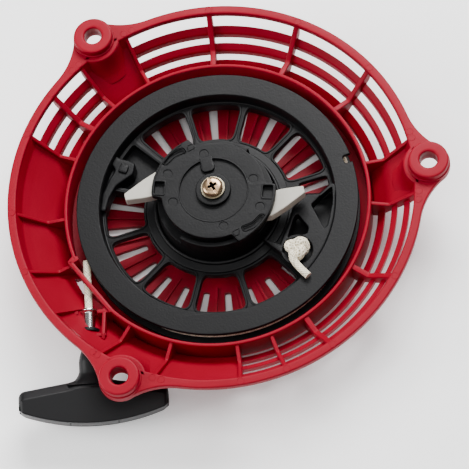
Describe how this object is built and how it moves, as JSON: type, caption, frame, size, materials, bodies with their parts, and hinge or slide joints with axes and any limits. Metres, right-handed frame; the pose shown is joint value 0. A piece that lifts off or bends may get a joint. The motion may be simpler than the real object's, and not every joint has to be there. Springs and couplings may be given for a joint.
{
  "type": "recoil starter",
  "caption": "Pull-cord recoil starter for a small engine: slatted round cover with bolt bosses, spring-returned rope pulley with throw-out pawls, and a T handle.",
  "frame": {"origin": "centre of the cover's flat outer face, on the pulley axis", "axes": "+Z along the pulley axis towards the engine; the rope is pulled along -Y; +X completes the right-handed frame"},
  "size_m": [0.2023, 0.1954, 0.0415],
  "materials": {
    "crimson_plastic": "moulded, satin gloss",
    "charcoal_plastic": "moulded glass-filled nylon, matt",
    "ivory_plastic": "moulded acetal, satin",
    "black_plastic": "moulded, satin",
    "braided_rope": "braided nylon",
    "zinc_steel": "bright zinc plated",
    "yellow_zinc_steel": "yellow passivated zinc plate",
    "spring_steel": "oiled spring temper",
    "brass_insert": "machined",
    "nickel_eyelet": "nickel plated"
  },
  "bodies": {
    "root": {"housing": "crimson_plastic", "post_insert": "brass_insert", "centre_washer": "zinc_steel", "centre_screw": "yellow_zinc_steel", "rope_eyelet": "nickel_eyelet", "eyelet_bush": "black_plastic"},
    "pulley": {"pulley": "charcoal_plastic", "recoil_spring": "spring_steel", "pawl_spring_right": "spring_steel", "pawl_spring_left": "spring_steel", "friction_spring": "spring_steel", "rope_coil": "braided_rope", "rope_knot": "braided_rope"},
    "guide": {"ratchet_guide": "charcoal_plastic"},
    "pawl_right": {"pawl_right": "ivory_plastic"},
    "pawl_left": {"pawl_left": "ivory_plastic"},
    "handle": {"handle_grip": "black_plastic", "handle_cap": "black_plastic", "handle_knot": "braided_rope", "rope_run": "braided_rope"}
  },
  "joints": [
    {"name": "pulley_spin", "type": "hinge", "parent": "root", "child": "pulley", "pos_m": [0, 0, 0.0169], "axis": [0, 0, 1], "range_deg": [0, 1080], "stiffness_Nm_per_rad": 0.02, "springref_deg": -171.89, "deforming": ["recoil_spring"]},
    {"name": "guide_turn", "type": "hinge", "parent": "pulley", "child": "guide", "pos_m": [0, 0, 0.035], "axis": [0, 0, 1], "range_deg": [0, 30]},
    {"name": "pawl_right_swing", "type": "hinge", "parent": "pulley", "child": "pawl_right", "pos_m": [0.0189, -0.0092, 0.0302], "axis": [0, 0, 1], "range_deg": [0, 40]},
    {"name": "pawl_left_swing", "type": "hinge", "parent": "pulley", "child": "pawl_left", "pos_m": [-0.0189, 0.0092, 0.0302], "axis": [0, 0, 1], "range_deg": [0, 40]},
    {"name": "handle_pull", "type": "slide", "parent": "root", "child": "handle", "axis": [0, -1, 0], "range_m": [0, 1.162], "deforming": ["rope_run"]}
  ],
  "couplings": [
    {"joint": "pawl_right_swing", "follows": "guide_turn", "ratio": 1.3333},
    {"joint": "pawl_left_swing", "follows": "guide_turn", "ratio": 1.3333},
    {"joint": "handle_pull", "follows": "pulley_spin", "m_per_rad": 0.0616}
  ]
}
